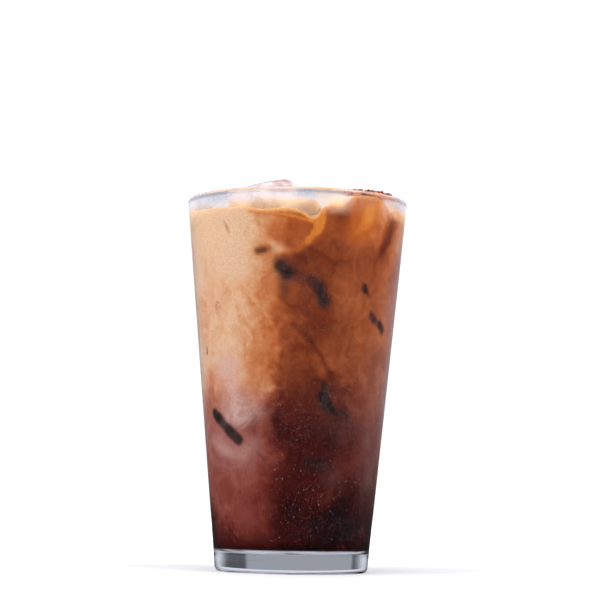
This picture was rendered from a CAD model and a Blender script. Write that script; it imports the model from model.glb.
"""A tapered glass of iced milky coffee with its ice, dressed for a plain studio picture."""

import math

import bpy
import numpy as np
from mathutils import Matrix, Vector, noise
from mathutils.bvhtree import BVHTree


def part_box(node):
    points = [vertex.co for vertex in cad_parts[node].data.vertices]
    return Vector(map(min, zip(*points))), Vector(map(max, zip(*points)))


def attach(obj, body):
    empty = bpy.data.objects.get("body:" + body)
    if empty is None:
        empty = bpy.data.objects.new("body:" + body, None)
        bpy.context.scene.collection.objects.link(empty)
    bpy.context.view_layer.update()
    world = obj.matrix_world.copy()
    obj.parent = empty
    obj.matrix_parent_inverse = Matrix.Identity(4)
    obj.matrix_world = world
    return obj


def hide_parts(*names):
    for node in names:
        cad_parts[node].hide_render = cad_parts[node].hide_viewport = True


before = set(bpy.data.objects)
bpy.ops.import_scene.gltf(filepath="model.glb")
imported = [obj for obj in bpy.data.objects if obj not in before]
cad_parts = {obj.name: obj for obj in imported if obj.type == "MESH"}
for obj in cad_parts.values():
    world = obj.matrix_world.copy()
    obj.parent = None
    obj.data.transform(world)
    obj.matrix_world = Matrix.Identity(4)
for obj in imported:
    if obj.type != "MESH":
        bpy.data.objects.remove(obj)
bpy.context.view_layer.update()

# The camera: a long lens just above table height, looking slightly up at a glass that leans by a degree.
# Nothing is thrown out of focus, so every view is sharp.
EYE = Vector((0.0017, -0.8100, 0.0345))
LOOK_UP = math.radians(5.26)
LEAN = math.radians(1.03)
LENS = 120.5

bpy.ops.object.select_all(action="DESELECT")
bpy.ops.object.camera_add(location=EYE, rotation=(math.radians(90) + LOOK_UP, 0, 0))
camera = bpy.context.object
camera.name = "camera"
camera.data.lens = LENS
camera.data.sensor_width = 36
camera.data.clip_start = 0.01
camera.rotation_euler = (camera.matrix_world.to_3x3() @ Matrix.Rotation(LEAN, 3, "Z")).to_euler()
bpy.context.scene.camera = camera
bpy.context.scene.view_settings.view_transform = "Standard"
bpy.context.scene.view_settings.look = "None"


# The studio: a pale floor, white behind the glass and dark in front of it, so that the glass has soft
# dark edges and no glare. The softboxes light the drink without being mirrored in the wall.
FLOOR_HALF = 1.6


class Tone:
    """A shader socket that adds a Math node for each sum, product or power it is used in."""

    def __init__(self, look, socket):
        self.look = look
        self.socket = socket

    def math(self, operation, *values):
        return self.look.node("ShaderNodeMath", {"operation": operation}, dict(enumerate(values)))

    def __add__(self, other):
        return self.math("ADD", self, other)

    def __radd__(self, other):
        return self.math("ADD", other, self)

    def __sub__(self, other):
        return self.math("SUBTRACT", self, other)

    def __rsub__(self, other):
        return self.math("SUBTRACT", other, self)

    def __mul__(self, other):
        return self.math("MULTIPLY", self, other)

    def __rmul__(self, other):
        return self.math("MULTIPLY", other, self)

    def __pow__(self, other):
        return self.math("POWER", self, other)

    def __abs__(self):
        return self.math("ABSOLUTE", self)

    def rise(self, low, high):
        """0 below low and 1 above high, smooth between."""
        settings = {"interpolation_type": "SMOOTHSTEP"}
        return self.look.node("ShaderNodeMapRange", settings, {"Value": self, 1: low, 2: high})


class Look:
    """A shader tree being built: node() adds a node, feed() sets or links one of its sockets."""

    def __init__(self, tree):
        self.tree = tree

    def feed(self, socket, value):
        if isinstance(value, Tone):
            self.tree.links.new(value.socket, socket)
        else:
            socket.default_value = value

    def node(self, kind, settings=None, inputs=None, out=0, stops=None):
        made = self.tree.nodes.new(kind)
        for name, value in (settings or {}).items():
            setattr(made, name, value)
        if stops:
            bar = made.color_ramp.elements
            while len(bar) < len(stops):
                bar.new(0.5)
            for element, (at, colour) in zip(bar, stops):
                element.position = at
                element.color = colour
        for name, value in (inputs or {}).items():
            self.feed(made.inputs[name], value)
        return Tone(self, made.outputs[out])

    def mix(self, share, first, second, mode="MIX"):
        settings = {"data_type": "RGBA", "blend_type": mode}
        return self.node("ShaderNodeMix", settings, {0: share, 6: first, 7: second}, out=2)

    def axis(self, vector, name):
        return self.node("ShaderNodeSeparateXYZ", None, {0: vector}, out=name)

    def coordinates(self, stretch=(1, 1, 1)):
        place = self.node("ShaderNodeTexCoord", out="Object")
        inputs = {"Vector": place, "Scale": stretch}
        return self.node("ShaderNodeMapping", {"vector_type": "POINT"}, inputs)

    def clouds(self, place, scale, detail=4.0, rough=0.55, twist=0.0):
        inputs = {
            "Vector": place,
            "Scale": scale,
            "Detail": detail,
            "Roughness": rough,
            "Distortion": twist,
        }
        return self.node("ShaderNodeTexNoise", None, inputs)

    def bump(self, shader, height, strength, distance):
        """Raises and lowers the surface of a shader by a height."""
        inputs = {"Strength": strength, "Distance": distance, "Height": height}
        self.feed(shader.inputs["Normal"], self.node("ShaderNodeBump", None, inputs))


def paint(red, green, blue):
    """A colour named by its screen values from 0 to 255, as the linear one that shaders take."""
    def linear(c):
        return c / 12.92 if c <= 0.04045 else ((c + 0.055) / 1.055) ** 2.4
    return (linear(red / 255), linear(green / 255), linear(blue / 255), 1.0)


def new_finish(name, roughness, **fixed):
    """A Principled material with its fixed sockets set, and the Look that builds the rest."""
    made = bpy.data.materials.new(name)
    made.use_nodes = True
    shader = made.node_tree.nodes["Principled BSDF"]
    shader.inputs["Roughness"].default_value = roughness
    for socket, value in fixed.items():
        shader.inputs[socket.replace("_", " ")].default_value = value
    return made, Look(made.node_tree), shader


def make_floor():
    """The pale floor. It glows a little for the camera, so that it runs into the white behind it."""
    bpy.ops.object.select_all(action="DESELECT")
    bpy.ops.mesh.primitive_grid_add(x_subdivisions=8, y_subdivisions=8, size=2 * FLOOR_HALF)
    floor = bpy.context.object
    floor.name = "floor"
    made, look, shader = new_finish("pale_floor", 0.9, Specular_IOR_Level=0.1)
    grain = look.clouds(look.coordinates(), 40.0)
    white = look.mix(grain, paint(198, 197, 197), paint(204, 203, 202))
    through_glass = look.node("ShaderNodeLightPath", out="Is Transmission Ray")
    mirrored = look.node("ShaderNodeLightPath", out="Is Glossy Ray")
    body = look.mix(through_glass, white, paint(128, 131, 140))
    body = look.mix(mirrored * (1 - through_glass), body, paint(30, 30, 32))
    look.feed(shader.inputs["Base Color"], body)
    seen = look.node("ShaderNodeLightPath", out="Is Camera Ray")
    shader.inputs["Emission Color"].default_value = (1.0, 1.0, 1.0, 1.0)
    place = look.coordinates()
    reach = (look.axis(place, "X") ** 2 + look.axis(place, "Y") ** 2) ** 0.5
    look.feed(shader.inputs["Emission Strength"], seen * (0.04 + reach.rise(0.07, 0.40) * 0.7))
    floor.data.materials.append(made)


def make_world():
    """White for the camera and soft for the drink. The glass itself shows grey low down behind it, dark
    flags at both sides, white higher up, and hardly any of the room in front."""
    world = bpy.data.worlds.new("studio")
    world.use_nodes = True
    bpy.context.scene.world = world
    look = Look(world.node_tree)
    back = world.node_tree.nodes["Background"]
    towards = look.node("ShaderNodeTexCoord", out="Generated")
    x, y, z = (look.axis(towards, name) for name in "XYZ")
    behind = y.rise(0.05, 0.45)
    high = z.rise(0.090, 0.125)
    streaks = look.clouds(towards, 26.0, 4.0, 0.6, 0.5).rise(0.48, 0.60)
    flag_left = x.rise(-1.01, -0.95) * (1 - x.rise(-0.66, -0.60)) * (1 - 0.55 * streaks)
    flag_right = x.rise(0.38, 0.44) * (1 - x.rise(0.93, 0.98))
    low = 0.32 * (1 - 0.88 * (flag_left + flag_right)) + 0.16 * (0 - x).rise(0.93, 0.98)
    through = 0.05 + low * (1 - high) + high * (0.15 + behind * 0.68)
    mirrored = 0.05 + 0.55 * behind * high + 0.25 * (0 - x).rise(0.5, 0.9)
    lit = 0.62 + 0.25 * z.rise(0.0, 0.9)
    camera_ray = look.node("ShaderNodeLightPath", out="Is Camera Ray")
    rays = camera_ray.socket.node.outputs
    through_ray = Tone(look, rays["Is Transmission Ray"])
    strength = through_ray * through
    strength = strength + Tone(look, rays["Is Glossy Ray"]) * (1 - through_ray) * mirrored
    strength = strength + Tone(look, rays["Is Diffuse Ray"]) * lit + camera_ray * 1.08
    look.feed(back.inputs["Color"], look.mix(camera_ray, paint(238, 242, 255), paint(255, 255, 255)))
    look.feed(back.inputs["Strength"], strength)


def softbox(name, place, target, size, power):
    """A square softbox aimed at a point. The glass doesn't mirror it, and its shadows are soft."""
    aim = (Vector(target) - Vector(place)).to_track_quat("-Z", "Y").to_euler()
    bpy.ops.object.light_add(type="AREA", location=place, rotation=aim)
    light = bpy.context.object
    light.name = name
    light.data.size = size
    light.data.energy = power
    light.visible_camera = False
    light.visible_glossy = False
    light.visible_transmission = False


make_floor()
make_world()
softbox("softbox_left", (-0.95, -0.62, 0.42), (0, 0, 0.08), 0.5, 12.0)
softbox("softbox_right", (0.98, -0.55, 0.42), (0, 0, 0.08), 0.8, 15.0)
softbox("softbox_top", (-0.1, -0.15, 1.15), (0, 0, 0.08), 0.8, 8.6)
softbox("softbox_back", (0.1, 0.95, 0.55), (0, 0, 0.09), 0.9, 6.5)


# The glass: one piece of clear soda-lime glass, pressed in a mould. Its straight wall thins towards a
# fire-polished lip, and the thick foot stands on a ring round a shallow recess. Water from the air has
# misted it outside, because it is cold.
GLASS_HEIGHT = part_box("glass")[1].z
RIM_RADIUS = 0.0445
FOOT_RADIUS = 0.0304
RIM_WALL = 0.0022
LOW_WALL = 0.0030
FLOOR_THICKNESS = 0.0088
FLOOR_SAG = 0.0009
FLOOR_CORNER = 0.0045
HEEL_ROUND = 0.0020
RECESS_RADIUS = 0.0225
RECESS_SLOPE = 0.0015
RECESS_DEPTH = 0.0007
GLASS_STEPS = 256
SAME_POINT = 0.000004


def outer_radius(z):
    return FOOT_RADIUS + (RIM_RADIUS - FOOT_RADIUS) * z / GLASS_HEIGHT


def inner_radius(z):
    return outer_radius(z) - LOW_WALL + (LOW_WALL - RIM_WALL) * z / GLASS_HEIGHT


def arc(centre, radius, start, end, steps):
    """Points of an arc in a profile, with angles in degrees from the outward direction."""
    turns = np.radians(np.linspace(start, end, steps + 1))
    return [(centre[0] + radius * math.cos(a), centre[1] + radius * math.sin(a)) for a in turns]


def inside_profile(outwards, top, rows):
    """The inside of the glass from the middle of its floor up the wall, moved outwards into the glass."""
    corner_z = FLOOR_THICKNESS + FLOOR_CORNER
    corner_x = inner_radius(corner_z) - FLOOR_CORNER
    shares = np.linspace(0.0, 1.0, 10)[:-1]
    floor = [(corner_x * s, FLOOR_THICKNESS - FLOOR_SAG * (1 - s * s) - outwards) for s in shares]
    corner = arc((corner_x, corner_z), FLOOR_CORNER + outwards, -90, 0, 8)
    wall = [(inner_radius(z) + outwards, z) for z in np.linspace(corner_z, top, rows + 1)[1:]]
    return floor + corner + wall


def spun(name, profile, steps):
    """A turned piece: its profile is drawn point by point, then spun about the upright axis."""
    bpy.ops.object.select_all(action="DESELECT")
    bpy.ops.mesh.primitive_plane_add(size=0.001)
    made = bpy.context.object
    made.name = name
    bpy.ops.object.mode_set(mode="EDIT")
    bpy.ops.mesh.merge(type="CENTER")
    bpy.ops.transform.translate(value=(profile[0][0], 0, profile[0][1]))
    for (x, z), (next_x, next_z) in zip(profile, profile[1:]):
        bpy.ops.mesh.extrude_vertices_move(TRANSFORM_OT_translate={"value": (next_x - x, 0, next_z - z)})
    bpy.ops.mesh.select_all(action="SELECT")
    bpy.ops.mesh.spin(steps=steps, angle=2 * math.pi, center=(0, 0, 0), axis=(0, 0, 1))
    bpy.ops.mesh.select_all(action="SELECT")
    bpy.ops.mesh.remove_doubles(threshold=SAME_POINT)
    bpy.ops.mesh.normals_make_consistent(inside=False)
    bpy.ops.object.mode_set(mode="OBJECT")
    return made


def glass_finish():
    """Clear glass misted outside with fine cold water: thick in places, thin on the lip, none low down."""
    made, look, shader = new_finish("misted_glass", 0.0, IOR=1.5, Transmission_Weight=1.0)
    shader.inputs["Base Color"].default_value = paint(250, 252, 252)
    place = look.coordinates()
    x, y, z = (look.axis(place, name) for name in "XYZ")
    radius = (x * x + y * y) ** 0.5
    slope = (RIM_RADIUS - FOOT_RADIUS) / GLASS_HEIGHT
    outside = (radius - z * slope - FOOT_RADIUS).rise(-0.0010, -0.0005)
    height = z.rise(0.0115, 0.0150)
    grazing = look.node("ShaderNodeLayerWeight", None, {"Blend": 0.5}, out="Facing")
    patches = look.clouds(place, 38.0, 3.0).rise(0.35, 0.75)
    turn = look.node("ShaderNodeMath", {"operation": "ARCTAN2"}, {0: x, 1: 0 - y})
    wiped = turn.rise(0.36, 0.56) * (1 - turn.rise(0.80, 0.98)) * 0.92
    wiped = wiped + turn.rise(0.86, 1.0) * (1 - turn.rise(1.1, 1.3)) * 0.35
    bare = z.rise(0.1376, 0.1438) * (1 - wiped)
    lip = z.rise(0.1470, 0.1480) * 0.10
    fog = patches * 0.0015 + grazing.rise(0.50, 0.98) * z.rise(0.015, 0.060) * 0.17
    between = turn.rise(0.13, 0.19) * (1 - turn.rise(0.34, 0.50))
    band = 0.22 + patches * 0.30 + between * 0.15
    fog = fog + bare * (1 - z.rise(0.1462, 0.1474) * 0.8) * band + lip
    cells = look.node("ShaderNodeTexVoronoi", {"feature": "F1"}, {"Vector": place, "Scale": 1900.0})
    which = look.axis(Tone(look, cells.socket.node.outputs["Color"]), "X")
    drops = (1 - cells.rise(0.16, 0.38)) * which.rise(0.45, 0.95)
    wetter = look.clouds(place, 60.0, 4.0).rise(0.35, 0.65)
    mist = outside * height * (fog + drops * (0.05 + wetter * 0.09))
    dimples = (1 - cells.rise(0.1, 0.6)) * outside * height
    look.bump(shader, dimples, 0.12, 0.0002)
    milky = (1 - z.rise(0.1420, 0.1452)) * z.rise(0.130, 0.140)
    veil = look.mix(milky * 0.8, paint(220, 214, 220), paint(234, 196, 154))
    veil = look.mix(between * 0.7, veil, paint(232, 192, 152))
    veil = look.mix(1 - z.rise(0.035, 0.085), veil, paint(206, 150, 138))
    haze = look.node("ShaderNodeBsdfPrincipled", None, {"Base Color": veil, "Roughness": 1.0})
    look.feed(haze.socket.node.inputs["Specular IOR Level"], 0.0)
    body = look.node("ShaderNodeMixShader", None, {0: mist, 1: Tone(look, shader.outputs[0]), 2: haze})
    through = look.node("ShaderNodeBsdfTransparent", None, {"Color": (0.92, 0.92, 0.92, 1.0)})
    shadow = look.node("ShaderNodeLightPath", out="Is Shadow Ray")
    whole = look.node("ShaderNodeMixShader", None, {0: shadow, 1: body, 2: through})
    look.tree.links.new(whole.socket, look.tree.nodes["Material Output"].inputs["Surface"])
    return made


def make_glass():
    """The glass turned from its profile: the inside, the lip, the outer wall, the heel and the recess."""
    lip = RIM_WALL / 2
    lip_z = GLASS_HEIGHT - lip
    heel_x = outer_radius(HEEL_ROUND) - HEEL_ROUND
    inside = inside_profile(0.0, lip_z - lip * 0.8, 24)
    lip_arc = arc((outer_radius(lip_z) - lip, lip_z), lip, 180, 0, 12)
    wall = [(outer_radius(z), z) for z in np.linspace(lip_z, HEEL_ROUND, 26)[1:-1]]
    heel = arc((heel_x, HEEL_ROUND), HEEL_ROUND, 0, -90, 8)
    recess = [
        (RECESS_RADIUS + RECESS_SLOPE, 0.0),
        (RECESS_RADIUS, RECESS_DEPTH),
        (RECESS_RADIUS * 0.5, RECESS_DEPTH),
        (0.0, RECESS_DEPTH),
    ]
    glass = spun("clear_glass", inside + lip_arc + wall + heel + recess, GLASS_STEPS)
    bpy.ops.object.shade_smooth_by_angle(angle=math.radians(35))
    glass.data.materials.clear()
    glass.data.materials.append(glass_finish())
    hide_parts("glass")
    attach(glass, "root")


make_glass()


# The ice that stands out of the drink: cubes from a tray, melted round at the edges and flat where they
# lean on the wall. They are cloudy inside and wet outside, with brown coffee dried on their tops.
ICE_NAMES = ("ice_tall", "ice_front", "ice_right", "ice_corner", "ice_back", "ice_left")
ICE_DIMPLE = 0.00045
ICE_TO_WALL = 0.0004
ICE_GRID = 0.0007
ICE_GRAIN = 0.00008
CRUST_GRAIN = 0.00035
CRUSTED = "ice_right"


def points_of(obj):
    """The points of a mesh as rows of an array."""
    flat = np.empty(len(obj.data.vertices) * 3)
    obj.data.vertices.foreach_get("co", flat)
    return flat.reshape(-1, 3)


def ice_finish(name, crust):
    """Wet cloudy ice, browned by the drink low down. Crust is how much brown foam has dried on its top."""
    made, look, shader = new_finish(name, 0.12, IOR=1.31, Transmission_Weight=0.06)
    place = look.coordinates()
    height = look.axis(place, "Z")
    clouds = look.clouds(place, 130.0, 5.0, twist=0.6)
    fine = look.clouds(place, 620.0, 5.0, 0.7, 0.8)
    stain = look.clouds(look.coordinates((1, 1, 0.6)), 150.0, 5.0, 0.6, 1.0).rise(0.50, 0.72)
    wet = 1 - height.rise(0.1445, 0.1490)
    body = look.mix(clouds.rise(0.32, 0.62), paint(146, 136, 132), paint(188, 180, 178))
    body = look.mix(fine.rise(0.42, 0.62) * 0.6, body, paint(216, 210, 212))
    tea = look.mix(clouds.rise(0.38, 0.62), paint(202, 152, 110), paint(222, 184, 136))
    body = look.mix(wet * 0.92, body, tea)
    right = look.axis(place, "X").rise(0.0085, 0.0125)
    stained = 1 - (height - right * 0.0030).rise(0.1372, 0.1392)
    body = look.mix(stained * 0.85, body, paint(206, 122, 50))
    top = height.rise(0.1542, 0.1572) * (1 - crust)
    body = look.mix(stain * (0.30 + crust * 0.3) + top * 0.55, body, paint(158, 96, 64))
    shell = height.rise(0.1455, 0.1485) * crust
    foam = look.mix(fine.rise(0.38, 0.60), paint(138, 52, 20), paint(222, 146, 92))
    body = look.mix(shell, body, foam)
    spots = look.clouds(place, 330.0, 3.0).rise(0.50, 0.57) * shell
    body = look.mix(spots, body, paint(78, 18, 10))
    look.feed(shader.inputs["Base Color"], body)
    look.feed(shader.inputs["Roughness"], 0.10 + clouds * 0.25)
    look.bump(shader, fine + clouds * 0.5, 0.4, 0.0005)
    return made


def make_standing_ice(node, finish, crust):
    """A cube over its solid: the same form made finer, with melted dimples and a grainy crust."""
    bpy.ops.object.select_all(action="DESELECT")
    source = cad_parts[node]
    cube = bpy.data.objects.new(node + "_melted", source.data.copy())
    bpy.context.scene.collection.objects.link(cube)
    cube.select_set(True)
    bpy.context.view_layer.objects.active = cube
    bpy.ops.object.mode_set(mode="EDIT")
    bpy.ops.mesh.select_all(action="SELECT")
    bpy.ops.mesh.remove_doubles(threshold=0.00002)
    bpy.ops.object.mode_set(mode="OBJECT")
    even = cube.modifiers.new("even", "REMESH")
    even.voxel_size = ICE_GRID
    bpy.ops.object.modifier_apply(modifier=even.name)
    middle = sum((v.co for v in cube.data.vertices), Vector()) / len(cube.data.vertices)
    normals = [v.normal.copy() for v in cube.data.vertices]
    for vertex, normal in zip(cube.data.vertices, normals):
        slow = noise.fractal(vertex.co * 110, 1.0, 2.0, 3)
        fine = noise.fractal(vertex.co * 620, 0.9, 2.1, 3)
        top = 1.0 if vertex.co.z > middle.z + 0.004 else 0.0
        grain = fine * (ICE_GRAIN + top * crust * CRUST_GRAIN)
        vertex.co += normal * (slow * ICE_DIMPLE + grain - ICE_DIMPLE * 0.3)
        room = inner_radius(vertex.co.z) - ICE_TO_WALL
        reach = math.hypot(vertex.co.x, vertex.co.y)
        if reach > room:
            vertex.co.x *= room / reach
            vertex.co.y *= room / reach
    for face in cube.data.polygons:
        face.use_smooth = True
    cube.data.materials.clear()
    cube.data.materials.append(finish)
    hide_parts(node)
    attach(cube, "root")
    return cube


plain_ice = ice_finish("wet_ice", 0.0)
crusted_ice = ice_finish("crusted_ice", 1.0)
standing = []
for node in ICE_NAMES:
    if node == CRUSTED:
        standing.append(make_standing_ice(node, crusted_ice, 1.0))
    else:
        standing.append(make_standing_ice(node, plain_ice, 0.2))


# The ice sunk in the drink: more cubes from the same tray, each with one edge towards the wall. The drink
# hides them, so the dark marks where their edges come near the glass are painted on the drink's side.
SUNK_ROUND = 0.0030
SUNK_POKE = 0.00004
HALF_DIAGONAL = 0.7071
EDGE_TAKEN_IN = 0.41
INTO_WALL = 0.00012

# Each cube: the two ends of its outer edge, given as angle from the front in degrees, height in mm and
# gap to the wall in mm, then its width in mm and its roll about that edge in degrees
SUNK_ICE = (
    ((-7.2, 116.4, 0.3), (15.0, 107.6, 0.3), 17.5, 4),
    ((43.0, 111.0, 0.5), (59.5, 98.2, 0.4), 15.5, -8),
    ((19.4, 70.0, 0.3), (31.0, 59.5, 1.0), 17.0, 10),
    ((-61.5, 61.8, 0.3), (-39.6, 52.4, 0.3), 18.0, 0),
    ((13.0, 20.5, 0.5), (50.0, 22.5, 0.5), 17.5, 8),
    ((-52.0, 104.0, 1.0), (-78.0, 90.0, 1.4), 17.0, -6),
    ((12.0, 44.6, 0.9), (22.0, 41.0, 1.4), 15.0, 12),
    ((-100.0, 30.0, 0.0), (-72.0, 22.0, 0.3), 17.0, 5),
    ((118.0, 117.0, 0.0), (138.0, 110.0, 0.2), 17.0, -10),
    ((-136.0, 98.0, 0.0), (-118.0, 88.0, 0.2), 17.0, 8),
    ((162.0, 76.0, 0.0), (146.0, 64.0, 0.3), 17.0, 0),
    ((-168.0, 54.0, 0.1), (-146.0, 46.0, 0.0), 17.0, 6),
    ((96.0, 54.0, 0.0), (110.0, 42.0, 0.2), 16.0, -5),
    ((150.0, 24.0, 0.2), (178.0, 18.0, 0.0), 17.0, 0),
)


def wall_point(angle, height, gap):
    """A point by the inside of the wall: degrees from the front, height in mm and gap in mm."""
    turn = math.radians(angle)
    radius = inner_radius(height / 1000) - gap / 1000
    return Vector((radius * math.sin(turn), -radius * math.cos(turn), height / 1000))


def sunk_ice_finish():
    """Ice with dark coffee round it: slate grey with smoky threads."""
    made, look, shader = new_finish("sunk_ice", 0.35, IOR=1.31, Specular_IOR_Level=0.1)
    place = look.coordinates()
    smoke = look.clouds(place, 160.0, 5.0, 0.6, 1.2)
    body = look.mix(smoke.rise(0.3, 0.7), paint(38, 26, 28), paint(66, 52, 58))
    look.feed(shader.inputs["Base Color"], body)
    look.feed(shader.inputs["Roughness"], 0.25 + smoke * 0.3)
    look.bump(shader, smoke, 0.3, 0.0003)
    return made


def make_sunk_cube(number, end_a, end_b, width, roll, finish):
    """A cube with its outer edge along the wall, moved until it is as near as the smaller gap says."""
    a, b = wall_point(*end_a), wall_point(*end_b)
    along = (b - a).normalized()
    outward = Vector((a.x + b.x, a.y + b.y, 0)).normalized()
    outward = (outward - along * outward.dot(along)).normalized()
    axes = Matrix((along, outward, along.cross(outward))).transposed()
    turn = (axes @ Matrix.Rotation(math.radians(45 + roll), 3, "X")).to_euler()
    centre = (a + b) / 2 - outward * (width / 1000 * HALF_DIAGONAL - SUNK_ROUND * EDGE_TAKEN_IN)
    bpy.ops.object.select_all(action="DESELECT")
    bpy.ops.mesh.primitive_cube_add(size=1, location=centre, rotation=turn)
    cube = bpy.context.object
    cube.name = "sunk_ice_%02d" % number
    cube.scale = ((b - a).length + SUNK_ROUND * 1.6, width / 1000, width / 1000)
    bpy.ops.object.transform_apply(location=True, rotation=True, scale=True)
    bpy.ops.object.mode_set(mode="EDIT")
    bpy.ops.mesh.select_all(action="SELECT")
    bpy.ops.mesh.bevel(offset=SUNK_ROUND, segments=3)
    bpy.ops.mesh.select_all(action="SELECT")
    bpy.ops.mesh.subdivide(number_cuts=3)
    bpy.ops.object.mode_set(mode="OBJECT")
    normals = [v.normal.copy() for v in cube.data.vertices]
    for vertex, normal in zip(cube.data.vertices, normals):
        slow = noise.fractal(vertex.co * 100, 1.0, 2.0, 3)
        fine = noise.fractal(vertex.co * 420, 1.0, 2.0, 2)
        vertex.co += normal * (slow * 0.0004 + fine * 0.0001)
    co = points_of(cube)
    gap = inner_radius(co[:, 2]) + INTO_WALL + SUNK_POKE - np.hypot(co[:, 0], co[:, 1])
    out = gap.min() - min(end_a[2], end_b[2]) / 1000
    way = Vector((outward.x, outward.y, 0)).normalized()
    for vertex in cube.data.vertices:
        vertex.co += way * out
    for face in cube.data.polygons:
        face.use_smooth = True
    cube.data.materials.append(finish)
    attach(cube, "root")
    return cube


sunk_look = sunk_ice_finish()
sunk = [make_sunk_cube(i + 1, *ends, sunk_look) for i, ends in enumerate(SUNK_ICE)]


# The drink: cold coffee with milk poured in, nearly black at the bottom and tan at the top, with the
# milk hanging in it as plumes. It comes to about 7 mm below the rim, and clings to the wall and ice.
DRINK_LEVEL = 0.1418
DRINK_STEPS = 280
SIDE_ROWS = 150
TOP_RINGS = 34
EDGE_START = 0.1250
EDGE_REACH = 0.0022
ICE_GAP = 0.00015
EDGE_STEP = 0.0006
RING_CROWDING = 1.15
RIPPLE = 0.00035
HAIR = 0.00001
SURFACE_TILT = 0.35
SURFACE_LOW = 0.130

# How the drink's edge stands on the wall: angle from the front in degrees, and height in mm
EDGE_LINE = (
    (-180, 142.6), (-150, 143.4), (-120, 142.4), (-95, 143.0), (-80, 143.1), (-65, 142.6),
    (-50, 142.3), (-38, 142.1), (-29, 141.9), (-24, 140.9), (-19, 140.2), (-12, 140.7), (-5, 141.0),
    (2, 139.6), (8, 136.8), (11, 137.6), (13, 140.4), (15, 142.2), (20, 142.6), (24, 143.4),
    (28, 145.0), (31, 146.6), (35, 147.2), (45, 147.4), (50, 146.6), (55, 144.4), (59, 142.4),
    (63, 144.0), (66, 145.2), (72, 143.4), (80, 144.6), (88, 145.2), (105, 143.2), (130, 142.4),
    (155, 143.2), (180, 142.6),
)

# Places on the wall, each an angle in degrees, a height in mm, a half width in degrees, a half height in
# mm and a strength. The milk hangs paler or the coffee darker there, or a thin pinkish smoke of milk lies
# on the glass, or light from the standing ice makes the thin drink over it glow
PALE_PLACES = (
    (59, 141, 3, 3, 0.12), (-64, 75, 8, 8, -0.12), (-46, 140, 34, 3, 0.08), (76, 137, 12, 8, -0.02),
    (-6, 134, 11, 4, -0.14), (21, 136, 6, 6, -0.20), (51, 135, 8, 8, -0.26), (49, 129, 7, 5, -0.20),
    (-13, 124, 5, 3, -0.18), (-14, 116, 5, 5, 0.15), (0, 129, 6, 3, 0.05), (-15, 133, 6, 4, 0.09),
    (12, 118, 8, 5, 0.05), (-15, 129, 5, 4, 0.06), (64, 124, 9, 8, 0.08), (57, 137, 8, 4, -0.14),
    (5, 124, 12, 5, -0.12), (12, 100, 9, 20, -0.05), (10, 65, 14, 9, -0.07), (-18, 92, 10, 14, 0.05),
    (-78, 17, 8, 9, -0.30), (0, 13, 60, 3, -0.04), (36, 19, 24, 9, -0.10), (18, 50, 9, 6, -0.05),
    (-30, 18, 12, 11, 0.14), (-30, 11, 14, 5, 0.10), (-30, 108, 9, 12, -0.10), (-30, 86, 9, 8, -0.08),
    (0, 105, 7, 6, 0.08), (30, 38, 12, 8, 0.05), (14, 75, 8, 6, -0.04), (-6, 124, 6, 4, 0.04),
    (2, 92, 10, 14, -0.06), (30, 112, 16, 14, 0.08), (-15, 65, 8, 10, 0.34), (26, 75, 16, 6, -0.17),
    (-14, 50, 7, 6, 0.06), (30, 27, 10, 5, 0.10), (-14, 42, 7, 10, 0.15), (-2, 36, 9, 8, 0.08),
    (26, 30, 10, 6, 0.08), (66, 92, 9, 24, 0.05), (0, 62, 9, 7, 0.04), (30, 84, 14, 8, 0.05),
    (150, 118, 30, 16, 0.12), (-160, 96, 22, 18, 0.16), (120, 84, 18, 20, 0.14),
    (170, 40, 26, 14, 0.10),
)
SMOKE_PLACES = (
    (-46, 79, 12, 8, 1.00), (-44, 66, 13, 8, 1.25), (-31, 63, 9, 5, 0.60), (-57, 50, 10, 6, 0.50),
    (-47, 44, 14, 5, 0.60), (-31, 50, 9, 5, 0.40), (36, 60, 18, 12, 0.08), (30, 38, 10, 6, 0.06),
    (66, 44, 10, 12, 0.12), (62, 70, 13, 32, 0.22), (66, 108, 9, 12, 0.22), (-60, 92, 20, 20, 0.15),
    (-44, 122, 26, 10, 0.15), (-122, 68, 22, 14, 0.60), (132, 60, 24, 18, 0.45),
    (176, 88, 22, 12, 0.50),
)
GLOW_PLACES = (
    (43, 142, 8, 7, 1.00), (39, 135, 6, 6, 0.50), (34, 131, 6, 4, 0.28), (30, 144.5, 4, 3, 0.8),
    (52, 145, 4, 3, 0.7), (22, 134, 22, 9, 0.26), (30, 135, 6, 4, 0.30), (-3, 133, 13, 6, 0.34),
    (150, 138, 12, 6, 0.7), (-150, 139, 12, 5, 0.7), (-30, 140.5, 30, 1.0, 0.35),
)

# The same glow where it is drawn out along the ice: an angle in degrees and a height in mm, another angle
# and height, a half width in mm, how far its edge is blurred in mm, and a strength
GLOW_STROKES = (
    (13.0, 139.6, 12.6, 136.5, 1.7, 1.6, 1.0), (12.6, 136.5, 11.2, 132.8, 2.0, 1.6, 1.0),
    (11.2, 132.8, 6.4, 128.8, 1.4, 1.7, 0.85), (6.4, 128.8, 0.6, 125.6, 0.9, 1.7, 0.62),
    (0.6, 125.6, -7.5, 123.2, 0.6, 1.7, 0.42), (-26.0, 140.0, -14.0, 139.4, 0.5, 0.9, 0.90),
    (-14.0, 139.4, -3.0, 138.0, 0.6, 0.9, 0.95), (-3.0, 138.0, 8.0, 135.6, 0.7, 1.0, 0.95),
    (12.5, 140.0, 15.0, 141.8, 0.6, 0.9, 0.95), (15.0, 141.8, 24.0, 142.8, 0.6, 0.9, 0.90),
    (24.0, 142.8, 31.0, 146.2, 0.5, 0.9, 0.85),
)

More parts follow.
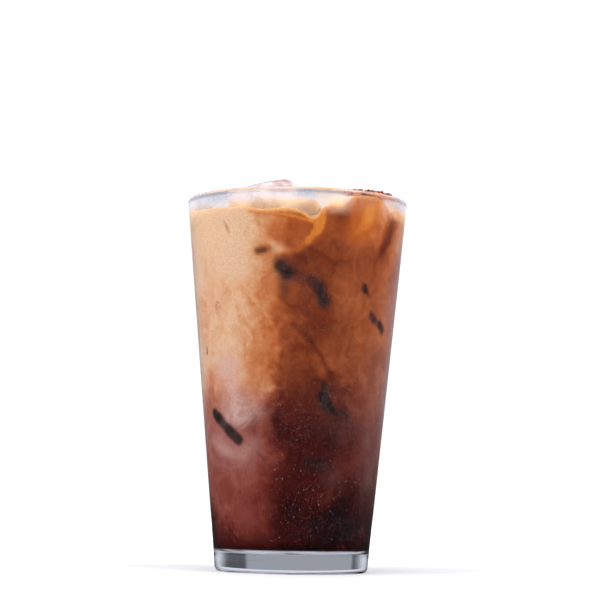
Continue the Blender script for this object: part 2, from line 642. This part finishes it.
# Where the edges and corners of the sunk ice show through the drink as slate strokes, written like the
# strokes above
ICE_MARKS = (
    (-8.2, 118.8, -5.4, 115.8, 2.6, 2.6, 0.97), (-6.2, 114.6, -6.6, 108.0, 1.2, 2.3, 0.62),
    (-2.0, 116.2, 8.0, 113.0, 1.6, 2.6, 0.42), (9.0, 113.4, 12.5, 111.2, 1.4, 2.4, 0.62),
    (13.0, 110.4, 16.4, 105.4, 2.1, 2.3, 0.97), (42.4, 112.1, 43.4, 110.9, 1.25, 0.9, 0.94),
    (44.4, 110.6, 46.4, 108.6, 0.6, 0.9, 0.60), (50.0, 101.4, 53.0, 99.6, 1.2, 1.3, 0.80),
    (53.0, 99.6, 59.0, 98.0, 1.2, 1.5, 0.55), (59.0, 98.4, 62.8, 96.2, 1.4, 1.2, 0.88),
    (19.4, 73.6, 18.8, 69.0, 1.2, 1.5, 0.85), (19.0, 68.8, 21.2, 65.6, 2.3, 1.7, 0.98),
    (21.8, 65.6, 26.0, 62.8, 1.2, 1.5, 0.94), (25.0, 63.2, 35.5, 61.6, 0.6, 1.6, 0.50),
    (35.5, 61.6, 43.5, 56.5, 0.4, 1.5, 0.34), (-62.4, 62.4, -57.0, 60.0, 1.8, 1.1, 0.97),
    (-57.0, 60.0, -47.0, 55.4, 1.8, 1.3, 0.92), (-47.0, 55.4, -39.2, 51.8, 2.0, 1.1, 0.96),
    (10.6, 43.8, 19.4, 42.8, 1.4, 2.4, 0.62), (7.6, 54.6, 8.4, 54.2, 0.5, 0.9, 0.65),
    (-21.4, 124.6, -18.2, 124.9, 1.0, 1.2, 0.74), (-18.6, 125.0, -14.0, 125.4, 0.7, 1.3, 0.30),
    (-43.0, 136.6, -40.3, 132.6, 0.4, 0.6, 0.20), (-50.6, 105.8, -53.4, 104.0, 0.28, 0.45, 0.65),
    (-53.4, 104.0, -53.0, 101.0, 0.25, 0.6, 0.40), (-66.4, 88.4, -66.8, 86.2, 0.4, 0.4, 0.90),
    (-24.8, 46.6, -18.2, 43.6, 0.2, 0.6, 0.50), (-16.4, 41.6, -12.0, 41.2, 0.3, 0.7, 0.50),
    (120.0, 117.0, 131.0, 113.0, 2.0, 1.3, 0.92), (-133.0, 96.5, -121.0, 90.0, 2.0, 1.2, 0.94),
    (160.0, 74.0, 151.0, 67.0, 1.9, 1.1, 0.94), (-164.0, 53.0, -150.0, 48.0, 1.9, 1.4, 0.86),
    (98.0, 52.0, 104.0, 46.0, 1.7, 1.3, 0.86),
)

# Long threads of darker coffee between the plumes, written like the strokes above
STREAKS = (
    (-43.2, 136.8, -40.2, 132.4, 0.5, 0.7, 1.3), (-22.0, 124.6, -15.0, 125.2, 1.2, 1.6, 0.7),
    (-1.0, 96.0, 3.0, 93.0, 0.5, 1.0, 0.5), (3.0, 93.0, 14.6, 85.7, 0.6, 0.9, 0.7),
    (14.6, 85.7, 26.4, 76.3, 0.5, 0.9, 0.7), (-7.0, 87.0, -11.0, 80.0, 0.3, 0.7, 0.5),
    (-38.0, 108.0, -35.0, 97.0, 0.3, 0.6, 0.35), (8.0, 126.0, 22.0, 120.0, 0.4, 0.9, 0.5),
    (22.0, 120.0, 33.0, 122.0, 0.4, 0.9, 0.4), (33.0, 66.0, 37.0, 56.0, 0.6, 1.2, 0.5),
    (-8.0, 70.0, -14.0, 60.0, 0.6, 1.5, 0.5), (-14.0, 60.0, -9.0, 52.0, 0.6, 1.5, 0.5),
    (-56.0, 20.0, -46.0, 14.5, 0.5, 0.6, 0.7), (-46.0, 14.5, -36.0, 13.0, 0.5, 0.6, 0.7),
    (-58.0, 17.0, -50.0, 12.5, 0.4, 0.5, 0.6), (-30.0, 64.0, -26.0, 55.0, 0.6, 1.4, 0.4),
    (130.0, 100.0, 150.0, 84.0, 0.6, 1.0, 0.7), (-150.0, 80.0, -128.0, 74.0, 0.6, 1.0, 0.7),
)

# The colours of the drink from no milk to most milk, high in the glass and low in the glass
HIGH_TONES = (
    (0.00, paint(36, 15, 13)), (0.12, paint(54, 18, 15)), (0.25, paint(76, 27, 17)),
    (0.38, paint(100, 42, 24)), (0.50, paint(128, 58, 30)), (0.62, paint(156, 80, 42)),
    (0.72, paint(188, 104, 56)), (0.82, paint(208, 136, 86)), (0.90, paint(221, 168, 124)),
    (1.00, paint(231, 195, 160)),
)
LOW_TONES = (
    (0.00, paint(26, 10, 11)), (0.12, paint(50, 12, 12)), (0.25, paint(70, 20, 17)),
    (0.38, paint(94, 34, 28)), (0.50, paint(118, 49, 40)), (0.62, paint(140, 68, 57)),
    (0.72, paint(160, 92, 82)), (0.82, paint(188, 130, 118)), (0.90, paint(206, 160, 146)),
    (1.00, paint(220, 185, 172)),
)


def rise(value, low, high):
    """0 below low and 1 above high, smooth between, for whole arrays."""
    t = np.clip((value - low) / (high - low), 0, 1)
    return t * t * (3 - 2 * t)


def apart(angle, other):
    """How far two angles in degrees lie apart, with a sign."""
    return (angle - other + 180) % 360 - 180


def places(table, angle, z):
    """The summed strength of soft round places at points of the wall."""
    total = np.zeros(len(angle))
    for middle, height, wide, tall, strength in table:
        away = (apart(angle, middle) / wide) ** 2 + ((z - height) / tall) ** 2
        total += strength * np.exp(-away * 1.2)
    return total


def marks(table, angle, z):
    """How strongly short soft strokes show at points of the wall, from 0 to 1."""
    hidden = np.ones(len(angle))
    across = np.radians(1) * inner_radius(z / 1000) * 1000
    for angle_a, z_a, angle_b, z_b, half, blur, strength in table:
        run, climb = apart(angle_b, angle_a) * across, z_b - z_a
        right, up = apart(angle, angle_a) * across, z - z_a
        share = np.clip((right * run + up * climb) / (run**2 + climb**2), 0, 1)
        away = np.hypot(right - share * run, up - share * climb)
        hidden *= 1 - strength * (1 - rise(away, half - blur * 0.6, half + blur))
    return 1 - hidden


def edge_height(angle):
    """The height of the drink's edge on the wall at angles in degrees, smoothed along its line."""
    angles = np.arange(-180, 181, 1.0)
    heights = np.interp(angles, *zip(*EDGE_LINE))
    round_again = np.concatenate([heights[-6:-1], heights, heights[1:6]])
    soft = np.convolve(round_again, (0.25, 0.5, 0.25), "same")[5:-5]
    return np.interp(angle, angles, soft) / 1000


def shape_edge(drink):
    """Lets the drink climb or dip at the wall as its edge line says, and ripple a little between."""
    co = points_of(drink)
    angle = np.degrees(np.arctan2(co[:, 0], -co[:, 1]))
    radius = np.hypot(co[:, 0], co[:, 1])
    edge = edge_height(angle)
    wall = inner_radius(DRINK_LEVEL) + INTO_WALL
    top = co[:, 2] > DRINK_LEVEL - HAIR
    side = (co[:, 2] > EDGE_START) & ~top
    lifted = EDGE_START + (co[:, 2] - EDGE_START) * (edge - EDGE_START) / (DRINK_LEVEL - EDGE_START)
    near = np.exp(-np.maximum(wall - radius, 0) / EDGE_REACH)
    surface = DRINK_LEVEL + (edge - DRINK_LEVEL) * near
    co[:, 2] = np.where(side, lifted, np.where(top, surface, co[:, 2]))
    fitted = inner_radius(co[:, 2]) + INTO_WALL
    rim = top & (radius > wall - HAIR)
    scale = np.where(side | rim, fitted / np.maximum(radius, 0.001), 1.0)
    co[:, :2] *= scale[:, None]
    ripple = np.array([noise.fractal(Vector(p) * 130, 1.0, 2.0, 3) for p in co[top]])
    co[top, 2] += ripple * RIPPLE * (1 - near[top])
    drink.data.vertices.foreach_set("co", co.ravel())
    drink.data.update()


def grown_copy(cube, margin):
    """A slightly larger copy of an ice cube, to cut its room out of the drink."""
    cutter = cube.copy()
    cutter.data = cube.data.copy()
    bpy.context.scene.collection.objects.link(cutter)
    co = points_of(cutter)
    middle = co.mean(0)
    away = co - middle
    length = np.linalg.norm(away, axis=1, keepdims=True)
    cutter.data.vertices.foreach_set("co", (middle + away * (1 + margin / length)).ravel())
    return cutter


def milk_share(angle, z):
    """How milky the drink is at points of the wall: dark at the bottom, pale at the front left."""
    milk = 0.10 + 0.13 * rise(z, 20, 45) + 0.29 * rise(z, 54, 80) + 0.20 * rise(z, 119, 140)
    soft = rise(z, 122, 132)
    left = rise(6 * soft - angle, -2, 37 + 14 * soft) * (1 - rise(-angle, 110, 158))
    milk += left * (0.14 + 0.33 * rise(z, 8, 27) - 0.08 * rise(z, 50, 70) + 0.06 * rise(z, 72, 92))
    milk -= left * 0.10 * rise(z, 124, 138)
    right = rise(angle, 18, 56) * (1 - rise(angle, 96, 140))
    milk += right * (0.18 * np.exp(-(((z - 52) / 19) ** 2)) + 0.12 * rise(z, 72, 92))
    behind = 1 - rise(np.abs(apart(angle, 168)), 0, 36)
    return milk + behind * (0.18 * rise(z, 40, 100) + 0.10) + places(PALE_PLACES, angle, z)


def nearness(spots, pieces, reach):
    """How near each point lies to the surface of some pieces, in mm, up to a reach."""
    corners, faces = [], []
    for piece in pieces:
        faces += [[i + len(corners) for i in face.vertices] for face in piece.data.polygons]
        corners += [v.co for v in piece.data.vertices]
    tree = BVHTree.FromPolygons(corners, faces)
    found = [tree.find_nearest(p, reach / 1000)[3] for p in spots]
    return np.array([reach if d is None else d * 1000 for d in found])


def colour_fields(drink):
    """Stores on the drink's points how milky it is, and where smoke, glow and sunk ice show."""
    co = points_of(drink)
    spots = [Vector(p) for p in co]
    slow = np.array([noise.fractal(p * 40, 1.0, 2.0, 4) for p in spots])
    sway = np.array([noise.fractal(p * 52 + Vector((5, 1, 9)), 1.0, 2.0, 4) for p in spots])
    quick = np.array([noise.fractal(p * 330 + Vector((2, 7, 4)), 0.9, 2.1, 3) for p in spots])
    angle = np.degrees(np.arctan2(co[:, 0], -co[:, 1]))
    z = co[:, 2] * 1000
    rough = quick * (1 - rise(z, 116, 128))
    milk = milk_share(angle + 15 * slow + 4 * rough, z + 8 * sway + 2 * rough) + 0.03 * slow
    milk -= 0.15 * marks(STREAKS, angle + 2.5 * sway, z + 1.5 * slow)
    smoke = places(SMOKE_PLACES, angle + 5 * sway, z + 4 * slow)
    glow = places(GLOW_PLACES, angle + 1.2 * quick, z + 0.7 * sway)
    glow = np.maximum(glow, marks(GLOW_STROKES, angle + 0.6 * quick, z + 0.5 * sway))
    bright = 1 - rise(edge_height(angle) * 1000 - z + 0.4 * quick, 0.2, 1.5)
    near_standing = 1 - rise(nearness(spots, standing, 6), 1.0, 6.0)
    bright = bright * (0.08 + 0.92 * near_standing)
    turned_away = np.cos(np.radians(np.clip(np.abs(angle), 0, 60)))
    film = marks(ICE_MARKS, angle + 0.4 * quick / turned_away, z + 0.45 * sway)
    film = np.maximum(film, 0.2 * (1 - rise(nearness(spots, sunk, 3), 0.1, 1.6)))
    fields = {"milk": milk, "smoke": smoke, "glow": glow, "bright": bright, "film": film}
    for name, values in fields.items():
        field = drink.data.attributes.new(name, "FLOAT", "POINT")
        field.data.foreach_set("value", np.clip(values, 0, 1.3).astype(np.float32))


def side_finish():
    """The drink through the wall: browns by how milky it is, with swirls, threads and dark flecks."""
    made, look, shader = new_finish("milky_coffee", 0.5, Specular_IOR_Level=0.05)
    field = {
        name: look.node("ShaderNodeAttribute", {"attribute_name": name}, out="Fac")
        for name in ("milk", "smoke", "glow", "bright", "film")
    }
    place = look.coordinates()
    height = look.axis(place, "Z")
    broad = {"Vector": place, "Scale": 55.0, "Detail": 3.0}
    drift = look.node("ShaderNodeTexNoise", None, broad, out="Color")
    pull = look.node("ShaderNodeVectorMath", {"operation": "SCALE"}, {0: drift, "Scale": 0.030})
    swayed = look.node("ShaderNodeVectorMath", {"operation": "ADD"}, {0: place, 1: pull})
    taller = (1.0, 1.0, 0.75)
    upright = look.node("ShaderNodeVectorMath", {"operation": "MULTIPLY"}, {0: swayed, 1: taller})
    swirl = look.clouds(upright, 90.0, 7.0, 0.62, 0.8)
    cloud = look.clouds(swayed, 34.0, 6.0, 0.58, 0.6)
    mottle = look.clouds(swayed, 260.0, 5.0, 0.65, 0.6)
    grain = look.clouds(place, 1500.0, 2.0, 0.7)
    milk = field["milk"] + (swirl - 0.5) * 0.34 + (cloud - 0.5) * 0.30
    milk = milk + (mottle - 0.5) * 0.12 + (grain - 0.5) * 0.10
    high = look.node("ShaderNodeValToRGB", None, {0: milk}, stops=HIGH_TONES)
    low = look.node("ShaderNodeValToRGB", None, {0: milk}, stops=LOW_TONES)
    body = look.mix((height + (cloud - 0.5) * 0.03).rise(0.052, 0.078), low, high)
    threads = 1 - abs(look.clouds(swayed, 70.0, 4.0, 0.5, 0.5) - 0.5).rise(0.0, 0.16)
    wisp = threads * 0.4 + swirl.rise(0.35, 0.7) * 0.6
    body = look.mix(field["smoke"] * (0.30 + wisp * 0.6), body, paint(218, 182, 172))
    amber = field["glow"] * (0.80 + (cloud - 0.5) * 1.1)
    lit = look.mix(amber.rise(0.4, 1.0), paint(206, 102, 34), paint(228, 148, 62))
    body = look.mix(amber.rise(0.05, 0.9) * 0.9, body, lit)
    body = look.mix(field["bright"] * 0.75, body, paint(246, 178, 92))
    flecks = look.clouds(swayed, 210.0, 5.0, 0.62, 1.0).rise(0.46, 0.56) * (1 - height.rise(0.019, 0.030))
    patch = (1 - milk.rise(0.00, 0.12)) * flecks
    body = look.mix(patch * 0.6, body, paint(30, 22, 26))
    rust = look.clouds(swayed, 300.0, 3.0, 0.5, 1.4).rise(0.60, 0.66) * (1 - height.rise(0.020, 0.034))
    body = look.mix(rust * (1 - milk.rise(0.10, 0.22)) * 0.6, body, paint(96, 36, 22))
    ring = (1 - height.rise(0.0086, 0.0094)) * cloud.rise(0.30, 0.60)
    body = look.mix(ring, body, paint(236, 234, 238))
    slate = look.mix(mottle.rise(0.35, 0.65), paint(36, 24, 25), paint(60, 44, 46))
    body = look.mix(field["film"], body, slate)
    body = look.mix(0.6 * grain.rise(0.36, 0.64), body, paint(226, 220, 218), mode="MULTIPLY")
    look.feed(shader.inputs["Base Color"], body)
    look.feed(shader.inputs["Emission Color"], look.mix(ring, paint(0, 0, 0), paint(176, 178, 188)))
    shader.inputs["Emission Strength"].default_value = 1.0
    return made


def top_finish():
    """The drink's surface: tan with a fine froth, glossy where it is bare."""
    made, look, shader = new_finish("coffee_surface", 0.2, IOR=1.33)
    place = look.coordinates()
    swirl = look.clouds(place, 60.0, 5.0, 0.6, 1.8)
    froth = look.node("ShaderNodeTexVoronoi", {"feature": "F1"}, {"Vector": place, "Scale": 900.0})
    foamy = look.clouds(place, 45.0, 3.0).rise(0.42, 0.62)
    body = look.mix(swirl.rise(0.3, 0.7), paint(186, 112, 62), paint(226, 176, 128))
    body = look.mix(foamy * froth.rise(0.1, 0.6) * 0.6, body, paint(240, 208, 170))
    look.feed(shader.inputs["Base Color"], body)
    look.feed(shader.inputs["Roughness"], 0.08 + foamy * 0.35)
    look.bump(shader, froth * foamy, 0.25, 0.0003)
    return made


def make_drink():
    """The drink turned from the inside of the glass, with a pocket cut in it for every cube."""
    wall = inner_radius(DRINK_LEVEL) + INTO_WALL
    below = inside_profile(INTO_WALL, DRINK_LEVEL - EDGE_STEP, SIDE_ROWS)
    rings = [(wall * (1 - i / TOP_RINGS) ** RING_CROWDING, DRINK_LEVEL) for i in range(TOP_RINGS + 1)]
    drink = spun("coffee_with_milk", below + rings, DRINK_STEPS)
    shape_edge(drink)
    drink.data.materials.clear()
    drink.data.materials.append(side_finish())
    drink.data.materials.append(top_finish())
    for face in drink.data.polygons:
        face.use_smooth = True
        on_top = face.normal.z > SURFACE_TILT and face.center.z > SURFACE_LOW
        face.material_index = 1 if on_top else 0
    bpy.ops.object.select_all(action="DESELECT")
    drink.select_set(True)
    bpy.context.view_layer.objects.active = drink
    for cube in standing + sunk:
        cutter = grown_copy(cube, ICE_GAP)
        cutter.data.materials.clear()
        cutter.data.materials.append(drink.data.materials[1 if cube in standing else 0])
        cut = drink.modifiers.new("pocket", "BOOLEAN")
        cut.operation = "DIFFERENCE"
        cut.solver = "MANIFOLD"
        cut.object = cutter
        bpy.ops.object.modifier_apply(modifier=cut.name)
        bpy.data.objects.remove(cutter)
    colour_fields(drink)
    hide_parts("coffee")
    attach(drink, "root")


make_drink()


# The foam crumbs: coffee foam that has dried on the cube at the right as ragged red-brown lumps, half a
# millimetre to nearly two across. They are frozen to the wet ice along its top.
CRUMBS = 330
CROWN_DEPTH = 0.0022
CRUMB_SMALLEST = 0.00022
CRUMB_SPREAD = 0.00045
CRUMB_SEED = 5


def pattern(obj):
    """The points and faces of a small shape that is repeated, which is then deleted."""
    shape = points_of(obj)
    faces = [tuple(face.vertices) for face in obj.data.polygons]
    bpy.data.objects.remove(obj)
    return shape, faces


def many_in_one(name, parts, faces, finish):
    """One piece made of many small parts."""
    mesh = bpy.data.meshes.new(name)
    mesh.from_pydata(np.concatenate(parts).tolist(), [], faces)
    mesh.update()
    mesh.materials.append(finish)
    piece = bpy.data.objects.new(name, mesh)
    bpy.context.scene.collection.objects.link(piece)
    return piece


def make_crumbs():
    """Every crumb is a round lump with its points drawn in or out, set on the crown of the cube."""
    cube = standing[ICE_NAMES.index(CRUSTED)]
    points = points_of(cube)
    crown = points[points[:, 2] > points[:, 2].max() - CROWN_DEPTH]
    draw = np.random.default_rng(CRUMB_SEED)
    made, look, shader = new_finish("dried_foam", 0.45, Specular_IOR_Level=0.3)
    patchy = look.clouds(look.coordinates(), 500.0).rise(0.4, 0.6)
    look.feed(shader.inputs["Base Color"], look.mix(patchy, paint(74, 18, 8), paint(150, 62, 26)))
    bpy.ops.object.select_all(action="DESELECT")
    bpy.ops.mesh.primitive_ico_sphere_add(subdivisions=1, radius=1.0)
    shape, faces = pattern(bpy.context.object)
    parts, loops = [], []
    for i in range(CRUMBS):
        seat = crown[draw.integers(len(crown))]
        size = CRUMB_SMALLEST + CRUMB_SPREAD * draw.random() ** 2
        ragged = shape * draw.uniform(0.6, 1.2, (len(shape), 1))
        turned = ragged @ np.array(Matrix.Rotation(draw.uniform(0, 6), 3, "Z"))
        parts.append(turned * (size * 1.3, size * 1.3, size) + seat)
        loops += [tuple(k + i * len(shape) for k in face) for face in faces]
    crumbs = many_in_one("foam_crumbs", parts, loops, made)
    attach(crumbs, "root")


make_crumbs()


# Cold beads: water drawn from the air by the cold wall, as flat round drops that stand on the glass.
# They are slightly larger low down, and the lip and the foot are bare.
BEADS = 8800
BEAD_LOW = 0.0125
BEAD_HIGH = 0.1435
BEAD_SMALLEST = 0.00008
BEAD_SPREAD = 0.00013
BEAD_FLATNESS = 0.55
BEAD_SUNK_IN = 0.00002
BEAD_SEED = 11


def make_beads():
    """Every drop as a low dome on the wall, joined into one piece."""
    bpy.ops.object.select_all(action="DESELECT")
    bpy.ops.mesh.primitive_uv_sphere_add(segments=6, ring_count=4, radius=1.0)
    bpy.ops.object.mode_set(mode="EDIT")
    bpy.ops.mesh.select_all(action="SELECT")
    bpy.ops.mesh.bisect(plane_co=(0, 0, 0.01), plane_no=(0, 0, 1), use_fill=True, clear_inner=True)
    bpy.ops.mesh.select_all(action="SELECT")
    bpy.ops.mesh.normals_make_consistent(inside=False)
    bpy.ops.object.mode_set(mode="OBJECT")
    ball, faces = pattern(bpy.context.object)
    shape = ball * (1, 1, BEAD_FLATNESS)
    draw = np.random.default_rng(BEAD_SEED)
    slope = (RIM_RADIUS - FOOT_RADIUS) / GLASS_HEIGHT
    points, loops = [], []
    while len(loops) < BEADS * len(faces):
        turn = draw.uniform(-math.pi, math.pi)
        z = draw.uniform(BEAD_LOW, BEAD_HIGH)
        size = (BEAD_SMALLEST + BEAD_SPREAD * draw.random() ** 5) * (1.2 - 2.0 * (z - 0.04))
        out = Vector((math.sin(turn), -math.cos(turn), 0))
        seat = out * (outer_radius(z) - BEAD_SUNK_IN) + Vector((0, 0, z))
        if noise.fractal(seat * 40, 1.0, 2.0, 2) < draw.uniform(-1.4, 0.5):
            continue
        normal = (out - Vector((0, 0, slope))).normalized()
        aside = normal.cross(Vector((0, 0, 1))).normalized()
        axes = np.array((aside, normal.cross(aside), normal))
        first = len(points) * len(shape)
        points.append(shape * size @ axes + np.array(seat))
        loops += [tuple(i + first for i in face) for face in faces]
    made, look, shader = new_finish("cold_water", 0.15, IOR=1.33, Alpha=0.11)
    gleam = look.clouds(look.coordinates(), 2500.0, 2.0)
    look.feed(shader.inputs["Base Color"], look.mix(gleam, paint(188, 160, 156), paint(244, 232, 230)))
    beads = many_in_one("cold_beads", points, loops, made)
    for face in beads.data.polygons:
        face.use_smooth = True
    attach(beads, "root")


make_beads()
